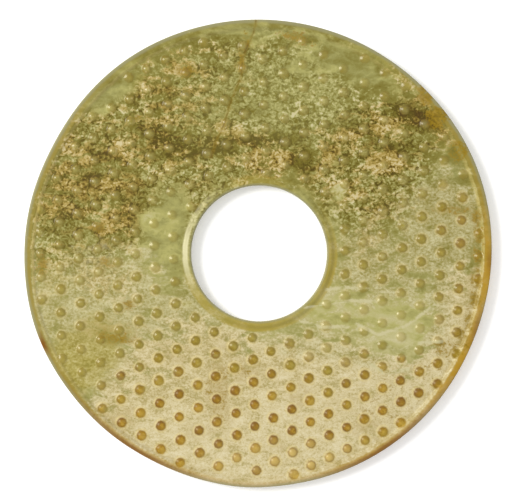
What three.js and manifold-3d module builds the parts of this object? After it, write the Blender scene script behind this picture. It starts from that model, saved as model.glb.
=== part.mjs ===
// Jade bi disc: a flat ring of jade, carved alike on both faces. A raised rim runs round the edge,
// a narrow collar round the hole, and rows of small round bosses stand on the ground between them.
// Millimetres, +Z up. The disc lies flat, with the middle of its underside at the origin.

import * as THREE from 'three';
import { mergeVertices } from 'three/addons/utils/BufferGeometryUtils.js';
import Module from 'manifold-3d';

const wasm = await Module();
wasm.setup();

// Disc and hole
const DISC_DIAMETER = 140;
const HOLE_DIAMETER = 40.8;
const HOLE_SHIFT_X = 0.3;
const HOLE_SHIFT_Y = -0.1;
const THICKNESS = 4.6;
const EDGE_BEVEL = 0.4;

// Rim at the edge and collar at the hole, each with a bank down to the ground
const RIM_WIDTH = 2.1;
const RIM_BANK = 0.65;
const COLLAR_WIDTH = 0.95;
const COLLAR_BANK = 1.65;
const GROUND_DEPTH = 0.8;

// Bosses, in a six-way net: columns run up the disc and neighbours stand half a step apart
const BOSS_DIAMETER = 3.1;
const BOSS_SPACING = 6.59;
const BOSS_BELOW_RIM = 0.08;
const BOSS_TO_RIM = 0.6;
const BOSS_TO_COLLAR = 2.5;
const BOSS_SCATTER = 0.15;
const NET_SHIFT_X = -2.57;
const NET_SHIFT_Y = 1.04;

// How deep a boss is set into the ground, so that the two join
const BOSS_ROOT = 0.3;

// The hand-laid net leans, bows and spreads, by shares of the disc's radius
const COLUMN_LEAN = 0.03;
const COLUMN_FAN = 0.042;
const COLUMN_SPREAD = 0.048;
const COLUMN_BULGE = 0.015;
const ROW_FALL = 0.151;
const ROW_STRETCH = 0.015;
const ROW_GROWTH = 0.0075;
const ROW_HOOK = 0.019;
const ROW_FAN = 0.048;

// The edge isn't quite round. Each swell stands out or falls in by a share of the radius, at an
// angle in degrees from +X, and dies away over its width in degrees.
const EDGE_SWELLS = [
  { angle: 22, width: 20, swell: 0.0057 },
  { angle: 120, width: 14, swell: 0.0025 },
  { angle: 152, width: 14, swell: -0.0079 },
  { angle: 199, width: 13, swell: 0.0064 },
  { angle: 243, width: 10, swell: -0.0029 },
  { angle: 266, width: 8, swell: 0.0036 },
  { angle: 338, width: 20, swell: -0.0057 },
];

// Places on the front where the bosses are worn away, as shares of the disc's radius
const WORN_PATCHES = [
  { x: -0.659, y: 0.706, size: 0.075 },
  { x: -0.146, y: 0.933, size: 0.03 },
  { x: 0.03, y: 0.911, size: 0.03 },
];

const RING_STEPS = 60;
const FRONT = { side: 1, bossSides: 6, salt: 1 };
const BACK = { side: -1, bossSides: 4, salt: 5 };

const radius = DISC_DIAMETER / 2;
const holeRadius = HOLE_DIAMETER / 2;
const groundHeight = THICKNESS / 2 - GROUND_DEPTH;
const bossHeight = GROUND_DEPTH - BOSS_BELOW_RIM;

const jade = new THREE.MeshStandardMaterial({
  color: 0x9f9c58,
  roughness: 0.3,
  metalness: 0,
  flatShading: true,
});

function edgeRadius(x, y) {
  const angle = THREE.MathUtils.radToDeg(Math.atan2(y, x));
  let share = 1;
  for (const { angle: middle, width, swell } of EDGE_SWELLS) {
    const away = THREE.MathUtils.euclideanModulo(angle - middle + 180, 360) - 180;
    share += swell * Math.exp(-((away / width) ** 2));
  }
  return radius * share;
}

// The upper half of the section, from the wall of the hole out to the wall of the edge
function upperSection() {
  const top = THICKNESS / 2;
  return [
    [holeRadius, top - EDGE_BEVEL],
    [holeRadius + EDGE_BEVEL, top],
    [holeRadius + COLLAR_WIDTH, top],
    [holeRadius + COLLAR_WIDTH + COLLAR_BANK, groundHeight],
    [radius - RIM_WIDTH - RIM_BANK, groundHeight],
    [radius - RIM_WIDTH, top],
    [radius - EDGE_BEVEL, top],
    [radius, top - EDGE_BEVEL],
  ];
}

// The section turned into a ring. Its inner rings follow the hole, and its outer ones the edge.
function ringGeometry() {
  const upper = upperSection();
  const lower = upper.map(([r, z]) => [r, -z]);
  const loop = [...lower, ...upper.reverse(), lower[0]].map(([r, z]) => new THREE.Vector2(r, z));
  const geometry = new THREE.LatheGeometry(loop, RING_STEPS).rotateX(Math.PI / 2);
  const middle = (radius + holeRadius) / 2;
  const position = geometry.getAttribute('position');
  for (let n = 0; n < position.count; n += 1) {
    const x = position.getX(n);
    const y = position.getY(n);
    if (Math.hypot(x, y) < middle) {
      position.setXY(n, x + HOLE_SHIFT_X, y + HOLE_SHIFT_Y);
    } else {
      const share = edgeRadius(x, y) / radius;
      position.setXY(n, x * share, y * share);
    }
  }
  return geometry;
}

// A fixed uneven number between -1 and 1
function uneven(column, row, salt) {
  const wave = Math.sin(column * 12.9898 + row * 78.233 + salt * 37.719) * 43758.5453;
  return 2 * (wave - Math.floor(wave)) - 1;
}

// The centre of a boss: its place in the true net, bent as the carver laid it
function bossCentre(column, row, salt) {
  const halfStep = column % 2 === 0 ? 0 : 0.5;
  const u = (column * Math.sqrt(0.75) * BOSS_SPACING + NET_SHIFT_X) / radius;
  const v = ((row + halfStep) * BOSS_SPACING + NET_SHIFT_Y) / radius;
  const x = u + v * (COLUMN_FAN * u + COLUMN_SPREAD * u * u + COLUMN_BULGE * u * v - COLUMN_LEAN);
  const y = v + v * (ROW_STRETCH + ROW_GROWTH * v + ROW_FAN * u * v) + u * (ROW_HOOK * u * u - ROW_FALL);
  return {
    x: x * radius + BOSS_SCATTER * uneven(column, row, salt),
    y: y * radius + BOSS_SCATTER * uneven(column, row, salt + 1),
  };
}

function standsOnGround({ x, y }) {
  const fromRim = edgeRadius(x, y) - RIM_WIDTH - Math.hypot(x, y);
  const fromCollar = Math.hypot(x - HOLE_SHIFT_X, y - HOLE_SHIFT_Y) - holeRadius - COLLAR_WIDTH;
  return fromRim >= BOSS_TO_RIM && fromCollar >= BOSS_TO_COLLAR;
}

function isWornAway({ x, y }) {
  return WORN_PATCHES.some((patch) => (
    Math.hypot(x / radius - patch.x, y / radius - patch.y) < patch.size
  ));
}

function bossCentres(face) {
  const centres = [];
  const reach = Math.ceil((radius / BOSS_SPACING) * 1.4);
  for (let column = -reach; column <= reach; column += 1) {
    for (let row = -reach; row <= reach; row += 1) {
      const centre = bossCentre(column, row, face.salt);
      const worn = face === FRONT && isWornAway(centre);
      if (standsOnGround(centre) && !worn) {
        centres.push(centre);
      }
    }
  }
  return centres;
}

// A low pointed boss, full width where it leaves the ground, with its root sunk below
function bossGeometry(face, centre) {
  const height = bossHeight + BOSS_ROOT;
  const rootRadius = ((BOSS_DIAMETER / 2) * height) / bossHeight;
  const geometry = new THREE.ConeGeometry(rootRadius, height, face.bossSides);
  geometry.rotateX((face.side * Math.PI) / 2);
  const middleHeight = groundHeight - BOSS_ROOT + height / 2;
  return geometry.translate(centre.x, centre.y, face.side * middleHeight);
}

function toSolid(geometry) {
  geometry.deleteAttribute('normal');
  geometry.deleteAttribute('uv');
  const merged = mergeVertices(geometry);
  return new wasm.Manifold(new wasm.Mesh({
    numProp: 3,
    vertProperties: merged.getAttribute('position').array,
    triVerts: new Uint32Array(merged.index.array),
  }));
}

function toGeometry(solid) {
  const { vertProperties, triVerts } = solid.getMesh();
  const geometry = new THREE.BufferGeometry();
  geometry.setAttribute('position', new THREE.BufferAttribute(vertProperties, 3));
  geometry.setIndex(new THREE.BufferAttribute(triVerts, 1));
  geometry.computeVertexNormals();
  return geometry;
}

let solid = toSolid(ringGeometry());
for (const face of [FRONT, BACK]) {
  for (const centre of bossCentres(face)) {
    solid = solid.add(toSolid(bossGeometry(face, centre)));
  }
}

const disc = new THREE.Mesh(toGeometry(solid), jade);
disc.name = 'jade_disc';
disc.position.z = THICKNESS / 2;

const biDisc = new THREE.Group();
biDisc.add(disc);

export default biDisc;
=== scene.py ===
"""The jade bi disc as it looks: a ring of mottled green jade, worn, stained and partly bleached.

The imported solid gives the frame. A flat plate is cut to the disc's outline, Geometry Nodes carve
the bosses on both faces, and one procedural stone colours it. Sizes are in metres where a user sets
them, and in millimetres inside the plate's own functions.
"""

import math
from collections import namedtuple

import bpy
import numpy as np
from mathutils import Matrix, Vector
from mathutils.geometry import delaunay_2d_cdt


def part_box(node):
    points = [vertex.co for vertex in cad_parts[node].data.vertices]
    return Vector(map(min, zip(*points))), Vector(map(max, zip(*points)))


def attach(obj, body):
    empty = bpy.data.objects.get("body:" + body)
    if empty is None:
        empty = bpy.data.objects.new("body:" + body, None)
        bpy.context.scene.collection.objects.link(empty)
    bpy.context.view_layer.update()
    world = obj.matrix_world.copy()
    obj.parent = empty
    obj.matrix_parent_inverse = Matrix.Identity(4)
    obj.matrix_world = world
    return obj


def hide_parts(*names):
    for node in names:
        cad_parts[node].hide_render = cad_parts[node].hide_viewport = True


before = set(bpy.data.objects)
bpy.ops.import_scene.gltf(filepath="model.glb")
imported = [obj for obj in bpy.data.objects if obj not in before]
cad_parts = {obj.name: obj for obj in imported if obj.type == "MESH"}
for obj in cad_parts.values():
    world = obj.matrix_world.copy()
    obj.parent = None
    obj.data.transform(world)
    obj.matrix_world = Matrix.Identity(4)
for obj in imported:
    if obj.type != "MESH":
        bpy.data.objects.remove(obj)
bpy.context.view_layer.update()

bl_info = {
    "name": "Jade bi disc",
    "version": (1, 0, 0),
    "blender": (4, 5, 0),
    "location": "3D View > Sidebar > Jade disc",
    "description": "Carves and colours a jade bi disc around its packed solid",
    "category": "Add Mesh",
}

MM = 1000.0

# The picture's width, and where the disc's middle lies right of and below its centre, in pixels
PHOTO_WIDTH = 512
DISC_MIDDLE = (2.1, 3.1)

# The stage's light makes the stone this much brighter than its own colour, and adds a warm sheen
BRIGHTNESS = 1.25
SHEEN_TINT = (1.0, 0.94, 0.62)
SHEEN = 0.024

# The floor and its glow, which keeps the shadows on it faint, the key light and the camera's film
FLOOR_REACH = 3.0
FLOOR_COLOUR = (0.94, 0.94, 0.93)
FLOOR_GLOW = 0.16
KEY_PLACE = (-0.84, 0.34, 0.92)
KEY_SIZE = 0.6
FILM_WIDTH = 36

# Light gathers on the far side of a boss from the key light: the shift in boss radii
GLOW_SHIFT = (0.42, -0.28, 0.0)

# The edge isn't quite round: angle in degrees from +X, width in degrees, share of the radius
EDGE_SWELLS = (
    (22, 20, 0.0057),
    (120, 14, 0.0025),
    (152, 14, -0.0079),
    (199, 13, 0.0064),
    (243, 10, -0.0029),
    (266, 8, 0.0036),
    (338, 20, -0.0057),
)

# Share of the radius by which the smooth edge stays inside the solid's flat-sided one
EDGE_INSET = 0.0003

# Mesh steps round the edge and the hole, and rings across the rounding, the rim, the collar, their
# banks and the wall, as shares of the width that they cross
EDGE_STEPS = 640
HOLE_STEPS = 248
ROUND_RINGS = (0.1, 0.33, 0.66, 1.0)
RIM_RINGS = (0.45, 0.7, 0.92)
RIM_BANK_RINGS = (0.06, 0.33, 0.66, 0.95, 1.35)
COLLAR_RINGS = (0.75, 1.0)
COLLAR_BANK_RINGS = (0.15, 0.3, 0.5, 0.7, 0.9, 1.1)
WALL_RINGS = (0.25, 0.5, 0.75)

# Boss rings smaller than this share of a boss have half the steps. The mesh of the bosses keeps
# this many millimetres, and the mesh between them this share of its step, off what it borders on.
# Points nearer than the last would be one.
SMALL_RING = 0.4
BOSS_GAP = 0.16
FILL_GAP = 0.45
TOUCHING = 1e-7

# Each face's side, the salt of its uneven numbers, its mesh step, and its rings and steps on a boss
Face = namedtuple("Face", "name side salt mesh_step boss_rings boss_steps")
FRONT = Face("front", 1, 1, "front_mesh", (0.3, 0.55, 0.76, 0.9, 1.0, 1.14, 1.34), 14)
BACK = Face("back", -1, 5, "back_mesh", (0.4, 0.75, 0.95, 1.15), 10)

# A steep sine wave of a boss's column, row and salt gives its uneven numbers
UNEVEN_COLUMN = 12.9898
UNEVEN_ROW = 78.233
UNEVEN_SALT = 37.719
UNEVEN_STEEPNESS = 43758.5453

# The hand-laid net of bosses leans, bows and spreads, by shares of the disc's radius. It is laid
# out this many radii wide, and what doesn't fall on the ground is left out.
NET_REACH = 1.4
COLUMN_LEAN = 0.03
COLUMN_FAN = 0.042
COLUMN_SPREAD = 0.048
COLUMN_BULGE = 0.015
ROW_FALL = 0.151
ROW_STRETCH = 0.015
ROW_GROWTH = 0.0075
ROW_HOOK = 0.019
ROW_FAN = 0.048

# How much the bosses differ in width and height, and how low they stand where the jade is clear,
# with the softness of the clear patches' borders there in millimetres
WIDTH_SPREAD = 0.06
HEIGHT_SPREAD = 0.05
COMMON_HEIGHT = 0.93
WORN_DROP = 0.3
WORN_SOFTNESS = 5.0

# The groove round a boss deepens and ends over these shares of the boss's radius
GROOVE_START = (0.96, 1.1)
GROOVE_END = (1.14, 1.34)

# Wear of the surface: noises (waves to the metre, detail, roughness and distortion), the crust's
# level between ridges and pits, how deep the pits go and how wild it is, how far above the ground
# the wear reaches in metres, and its share on the bosses
GROUND_NOISE = (90.0, 2.0, 0.5, 0.0)
CRUST_NOISE = (420.0, 4.0, 0.6, 0.4)
CRUST_LEVEL = 0.42
PIT_DEPTH = 0.06
CRUST_WILDNESS = 3.2
WEAR_REACH = 0.0006
BOSS_WEAR = 0.35

# The stone's noises: stretch, waves to the millimetre, detail, roughness and distortion
NOISES = {
    "cloud": ((1, 1, 1), 0.07, 3.0, 0.55, 0.0),
    "drift": ((0.6, 1.1, 1), 0.17, 4.0, 0.6, 0.5),
    "mottle": ((0.75, 1.25, 1), 0.3, 4.0, 0.55, 0.5),
    "curl": ((1, 1, 1), 0.42, 2.5, 0.55, 1.8),
    "fleck": ((1, 1, 1), 0.62, 3.0, 0.55, 0.9),
    "grain": ((0.92, 1.08, 1), 1.3, 3.0, 0.6, 0.3),
    "speck": ((0.85, 1.15, 1), 2.6, 3.0, 0.65, 0.0),
}

# Colours that follow the rim and the collar: angle in degrees from +X, width in degrees, strength
RIM_AMBER = ((354, 19, 1.0), (333, 22, 1.0), (300, 20, 0.7), (270, 22, 0.25), (243, 22, 0.5))
RIM_OLIVE = ((32, 20, 0.9), (90, 40, 0.2), (155, 25, 0.9), (185, 25, 1.0), (212, 18, 0.8))
RIM_BROWN = (
    (238, 20, 0.9), (303, 20, 0.9), (341, 5, 0.6), (358, 3, 0.5), (270, 18, 0.3), (203, 3, 1.0)
)
# The pale line on the rim's bank is partly a worn line and partly painted light: a painted highlight
# where the bank faces the key light, and paint that lifts the bank's shade elsewhere
RIM_LINE_AND_HIGHLIGHT = ((5, 34, 0.5), (176, 22, 0.8), (205, 18, 0.5), (140, 40, 0.4), (55, 25, 0.2))
COLLAR_WARM = ((270, 45, 1.0), (345, 38, 1.0), (222, 22, 0.8), (88, 20, 0.5))
# Painted highlight on the collar's bank where it faces the key light
COLLAR_HIGHLIGHT = ((178, 24, 1.0), (148, 20, 0.35))

# Places on the front where the bosses are worn away: x, y and size, as shares of the radius
WORN_AWAY = ((-0.659, 0.706, 0.075), (-0.146, 0.933, 0.03), (0.03, 0.911, 0.03))

# Patches of the front, in millimetres: x, y, half length, half breadth, turn in degrees, strength
PALE = (
    (8.1, -62.5, 56.9, 35.3, 0, 1),
    (-0.9, -64.9, 67.3, 32.9, 0, 0.8),
    (-27.9, -39.5, 22.4, 13.8, 10, 0.75),
    (59.8, -24.5, 7.2, 18.6, -18, 1),
    (-12.9, -27.5, 12.0, 6.0, -15, 0.9),
    (50.0, -42.5, 15.0, 9.0, 35, 1),
)
CHALK = (
    (-47.3, -15.2, 19.8, 16.2, 0, 1),
    (-27.9, -19.4, 18.0, 10.2, 0, 0.9),
    (53.8, 6.3, 13.2, 15.6, 0, 1),
    (56.8, 21.3, 6.0, 7.2, 0, 0.5),
    (38.0, -2.7, 18.0, 12.6, 0, 0.7),
    (58.9, -11.0, 7.8, 15.0, 0, 1),
    (-9.9, -23.0, 18.0, 4.8, -20, 0.8),
    (12.5, -25.4, 15.0, 3.6, 10, 0.8),
)
CLEAR = (
    (-27.9, 3.9, 7.8, 17.4, -8, 1),
    (-44.9, 48.8, 7.8, 4.5, 42, 1),
    (1.2, 67.1, 18.0, 3.0, 0, 1),
    (26.3, 56.6, 15.0, 4.5, -30, 1),
    (-52.7, -32.6, 5.4, 9.0, -38, 0.4),
    (13.4, 12.3, 6.6, 7.8, 45, 0.8),
    (26.0, -17.0, 18.6, 7.8, -6, 1),
    (44.0, -20.6, 15.0, 9.0, 5, 1),
    (57.4, 22.5, 6.0, 7.8, -20, 0.8),
    (21.5, -29.6, 15.0, 3.6, -14, 0.9),
    (23.0, 6.9, 4.2, 15.0, 0, 0.7),
    (12.5, 54.8, 7.8, 4.2, -10, 0.6),
    (-12.9, 15.9, 7.2, 4.8, 40, 0.6),
)
CRUST = (
    (-32.4, 23.4, 33.5, 26.3, 15, 1),
    (-0.9, 44.3, 33.5, 21.5, 0, 1),
    (32.3, 26.4, 21.0, 22.7, 0, 1),
    (50.3, 43.4, 10.2, 7.2, -42, 1),
    (-58.7, -6.6, 7.8, 6.6, 0, 0.8),
    (-53.3, 3.3, 16.2, 16.8, 0, 1),
    (-15.9, 26.4, 18.0, 10.8, 0, 1),
    (-41.3, -6.6, 15.0, 7.2, 0, 0.55),
    (27.5, 8.4, 12.0, 9.0, 0, 0.7),
    (-39.8, -11.0, 9.0, 6.0, 0, 0.6),
)
MOSS = (
    (8.1, 49.4, 18.6, 14.4, 0, 1),
    (-12.9, 42.8, 9.0, 18.0, 0, 0.4),
)
HONEY = (
    (-52.7, -31.4, 10.2, 15.6, -38, 1),
    (-59.9, -14.0, 5.4, 18.0, 0, 0.5),
    (-12.9, -14.0, 9.0, 5.4, -30, 0.5),
)
SMUDGE = (
    (-12.0, -41.6, 3.3, 10.2, 0, 0.8),
    (-6.0, -35.6, 5.4, 2.1, 0, 0.7),
    (-41.3, -49.4, 3.6, 2.4, 0, 0.8),
    (32.3, -51.7, 4.2, 3.0, 0, 0.8),
    (12.5, -43.4, 3.0, 4.2, 0, 0.5),
    (27.5, -44.0, 7.8, 2.4, 25, 0.4),
    (-24.9, -29.6, 4.2, 2.4, 0, 0.5),
    (-18.6, -53.5, 3.0, 2.4, 0, 0.6),
    (42.5, -35.6, 5.4, 1.8, 20, 0.5),
    (-44.3, -23.0, 7.8, 2.4, 0, 0.6),
    (6.0, -57.7, 3.6, 2.4, 0, 0.5),
)
DARK = (
    (-48.8, 15.9, 16.5, 16.5, 0, 0.5),
    (-27.0, 3.9, 7.2, 15.0, 0, 0.35),
    (-18.9, 47.3, 13.8, 13.8, 0, 0.35),
    (-24.6, 33.0, 8.4, 2.7, -5, 1),
    (-32.4, 37.4, 7.2, 1.8, 0, 0.8),
    (21.5, 30.9, 3.6, 3.6, 0, 0.6),
    (34.7, 31.5, 2.7, 6.0, 0, 0.6),
    (-18.9, 31.8, 13.8, 3.9, 8, 1),
    (3.0, 33.9, 12.0, 2.7, 2, 0.9),
    (13.4, 28.5, 5.1, 4.5, 0, 0.8),
    (46.1, 41.0, 7.8, 3.9, -18, 1),
    (-29.4, 36.2, 7.8, 3.0, 0, 0.7),
    (-32.4, 30.9, 6.6, 3.0, 0, 0.6),
    (-9.9, 30.9, 4.8, 3.6, 0, 0.8),
    (42.5, 31.5, 5.4, 3.0, 0, 0.7),
    (-2.4, 42.2, 7.8, 3.0, 0, 0.4),
    (28.1, 38.3, 6.6, 3.0, 0, 0.5),
    (-57.5, 25.5, 5.4, 3.6, 0, 0.4),
    (-41.3, -25.4, 4.8, 1.5, 0, 1),
    (-49.7, 6.3, 3.6, 2.4, 0, 0.5),
)
BUFF = (
    (-31.8, 39.8, 9.0, 1.5, 0, 0.9),
    (-40.1, 30.9, 5.4, 4.2, 0, 0.6),
    (-44.9, 18.9, 3.6, 6.0, 0, 0.5),
    (-56.9, 21.3, 6.0, 5.4, 0, 0.5),
    (-6.6, 27.9, 6.6, 2.4, 0, 0.8),
    (-44.3, 12.3, 4.8, 3.0, 0, 0.9),
    (1.2, 28.8, 10.2, 3.3, 4, 1),
    (-5.4, 36.8, 6.6, 2.4, -4, 1),
    (-1.8, 32.1, 9.0, 1.8, 0, 0.6),
    (40.1, 37.4, 5.4, 3.6, -10, 1),
    (47.3, 48.2, 5.4, 1.5, -42, 0.9),
    (56.2, 37.4, 3.0, 1.5, -60, 0.8),
    (-40.7, -14.0, 3.6, 1.5, -30, 0.8),
    (-46.1, -1.5, 2.4, 1.5, 0, 0.7),
    (-61.7, -2.7, 4.2, 3.6, 0, 0.6),
    (37.7, 27.3, 6.0, 3.6, 0, 1),
    (27.8, 34.7, 4.2, 2.1, 0, 1),
    (21.5, 30.9, 3.6, 3.0, 30, 1),
    (23.9, 19.5, 4.2, 3.0, 0, 0.9),
    (26.0, 15.0, 4.8, 2.4, 0, 0.8),
    (6.6, 27.9, 4.2, 3.0, 0, 0.8),
    (-58.7, 36.2, 4.8, 3.0, 45, 0.9),
    (-45.8, 9.3, 6.0, 3.0, -15, 0.9),
    (-32.4, 11.4, 7.2, 2.4, -10, 0.7),
    (-54.8, 27.9, 5.4, 3.6, 0, 0.7),
    (-21.9, 54.2, 6.0, 3.0, 0, 0.8),
    (-25.8, 48.2, 12.6, 7.2, 0, 0.25),
    (-15.9, 51.8, 7.2, 3.6, 0, 0.5),
    (-18.6, 60.8, 6.0, 2.1, 0, 0.6),
    (-32.4, 40.4, 7.8, 1.8, 8, 0.7),
    (-60.8, 14.4, 6.0, 3.0, 0, 0.6),
    (-27.9, 31.5, 4.2, 2.4, 0, 0.6),
    (8.1, 65.9, 6.6, 1.8, 0, 0.5),
    (12.5, 63.2, 4.8, 1.8, -15, 0.5),
    (33.5, 44.9, 4.8, 2.1, -20, 0.8),
    (12.5, 41.3, 4.2, 3.0, 0, 0.4),
    (-59.3, -3.6, 4.8, 2.4, 0, 0.6),
    (-38.3, -11.6, 3.0, 2.1, 0, 0.8),
    (19.4, 36.8, 4.2, 2.1, 0, 0.5),
    (-29.4, 26.4, 6.6, 2.1, 0, 0.5),
)
FADED = (
    (14.3, -61.3, 16.8, 4.5, 0, 1),
    (-5.4, -61.9, 8.4, 4.2, 0, 0.6),
    (-15.9, -49.4, 2.4, 1.8, 0, 0.3),
)
WARM = (
    (-9.9, -55.3, 54.5, 22.7, 0, 1),
    (42.5, -45.5, 22.4, 18.0, 30, 0.9),
    (67.0, -9.5, 5.4, 28.4, 0, 1),
)
AMBER = (
    (-21.3, 54.2, 2.7, 2.1, 0, 1),
    (-47.9, 7.8, 2.1, 1.2, 0, 1),
    (-65.3, -5.1, 1.5, 1.5, 0, 0.9),
    (-5.1, 57.8, 0.9, 3.6, 0, 0.9),
    (-3.3, 63.2, 1.2, 2.7, 0, 0.8),
    (65.8, 11.1, 1.8, 2.4, 0, 0.8),
    (66.1, 5.1, 1.5, 3.6, 0, 1),
    (65.8, -0.6, 2.1, 2.4, 0, 1),
    (65.2, -7.5, 1.8, 3.0, 0, 0.9),
    (64.6, -14.0, 1.8, 2.7, 0, 1),
    (63.1, -20.6, 1.5, 3.6, 0, 0.9),
    (61.3, -26.0, 2.1, 3.6, 0, 0.8),
    (59.2, 12.9, 7.2, 1.5, 0, 0.8),
    (-36.5, 40.4, 4.2, 1.2, 6, 0.9),
    (11.9, 64.4, 5.4, 1.8, -15, 0.7),
    (53.5, 40.4, 3.9, 3.6, -45, 1),
    (50.0, 47.0, 3.0, 2.4, -40, 0.9),
    (59.8, 30.3, 3.0, 3.6, 0, 0.9),
    (56.5, -29.0, 4.2, 3.0, 0, 0.7),
    (40.1, -48.2, 2.4, 2.1, 0, 0.6),
    (-42.5, -25.7, 5.1, 1.8, 0, 1),
    (-46.4, -24.5, 2.1, 1.8, 0, 0.9),
    (-38.9, -15.2, 1.8, 2.1, 30, 0.7),
    (-64.7, -3.3, 1.8, 3.6, 0, 0.9),
    (-45.5, -2.7, 2.7, 1.5, 0, 0.8),
    (-59.3, 2.4, 1.8, 1.5, 0, 0.6),
    (-7.8, -35.6, 7.8, 2.4, 10, 0.4),
    (-12.0, -42.5, 4.2, 10.8, 0, 0.35),
    (-21.0, 36.2, 2.4, 1.8, 0, 0.4),
    (-3.9, -35.0, 2.4, 1.8, 0, 0.5),
    (41.0, -42.5, 18.0, 6.0, 30, 0.3),
)

# The crack from the top edge towards the hole, pale healed veins, and how wide both look, all in
# millimetres
CRACK = (
    (-0.6, 69.8),
    (-1.2, 66.5),
    (-4.5, 59.0),
    (-5.2, 52.6),
    (-8.6, 44.2),
    (-9.9, 39.4),
    (-12.6, 33.2),
    (-14.2, 28.6),
)
VEINS = (
    ((14.0, -16.2), (21.0, -15.0), (28.5, -14.2), (36.0, -14.6)),
    ((13.0, -20.5), (19.0, -22.2), (27.0, -22.0)),
    ((29.0, -21.0), (36.0, -24.5), (44.0, -22.0), (53.0, -15.5)),
    ((36.0, -26.5), (42.0, -29.5), (47.0, -27.0), (55.0, -26.5)),
    ((20.5, -11.0), (26.0, -10.2), (33.0, -10.8)),
    ((33.5, -33.0), (38.0, -36.0), (45.0, -34.8)),
)
CRACK_REACH = 1.1
VEIN_REACH = 1.0


def tone(red, green, blue):
    """A stone colour as the picture shows it, as the linear colour that the shader takes."""
    seen = np.array([red, green, blue]) / 255
    linear = np.where(seen <= 0.04045, seen / 12.92, ((seen + 0.055) / 1.055) ** 2.4)
    sheen = SHEEN * np.array(SHEEN_TINT)
    return tuple(np.clip((linear - sheen) / BRIGHTNESS, 0, 1).tolist())


def size(name, description, default):
    """One length that a user can set."""
    return bpy.props.FloatProperty(
        name=name, description=description, default=default, unit="LENGTH", precision=5
    )


def colour(name, description, *rgb):
    """One colour that a user can set."""
    return bpy.props.FloatVectorProperty(
        name=name,
        description=description,
        default=tone(*rgb),
        subtype="COLOR",
        size=3,
        min=0,
        max=1,
    )


class DiscSizes(bpy.types.PropertyGroup):
    """The disc's own sizes."""

    diameter: size("Diameter", "Across the disc", 0.14)
    hole_diameter: size("Hole", "Across the hole", 0.0408)
    hole_shift_x: size("Hole shift X", "Middle of the hole from the middle of the disc", 0.0003)
    hole_shift_y: size("Hole shift Y", "Middle of the hole from the middle of the disc", -0.0001)
    edge_round: size("Edge rounding", "Radius along every edge", 0.00045)
    rim_width: size("Rim width", "Flat rim round the edge", 0.0021)
    rim_drift: size("Rim drift", "How much wider the rim is at +Y than at +X", 0.0003)
    rim_bank: size("Rim bank", "From the flat rim down to the ground", 0.0012)
    rim_crown: size("Rim crown", "How far the rim swells along its middle", 0.00005)
    collar_width: size("Collar width", "Flat collar round the hole", 0.00095)
    collar_bank: size("Collar bank", "From the flat collar down to the ground", 0.00165)
    ground_depth: size("Ground depth", "From the rims down to the ground", 0.0008)
    boss_diameter: size("Boss diameter", "Across one boss", 0.0031)
    boss_spacing: size("Boss spacing", "From boss to boss in a column", 0.00659)
    boss_below_rim: size("Boss below rim", "From a boss's top up to the rims' level", 0.00008)
    boss_to_rim: size("Boss to rim", "Least way from a boss's centre to the rim", 0.0006)
    boss_to_collar: size("Boss to collar", "Least way from a boss's centre to the collar", 0.0025)
    boss_scatter: size("Boss scatter", "How far a boss strays from its place", 0.00015)
    net_shift_x: size("Net shift X", "Place of the net of bosses", -0.00257)
    net_shift_y: size("Net shift Y", "Place of the net of bosses", 0.00104)
    foot_groove: size("Foot groove", "Depth of the tool mark round a boss", 0.00003)
    waviness: size("Waviness", "Rise and fall of the worn ground", 0.00007)
    crust_height: size("Crust height", "Thickness of the grown crust", 0.00012)
    front_mesh: size("Front mesh", "Step of the front's mesh between the bosses", 0.00064)
    back_mesh: size("Back mesh", "Step of the back's mesh between the bosses", 0.00105)


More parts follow.
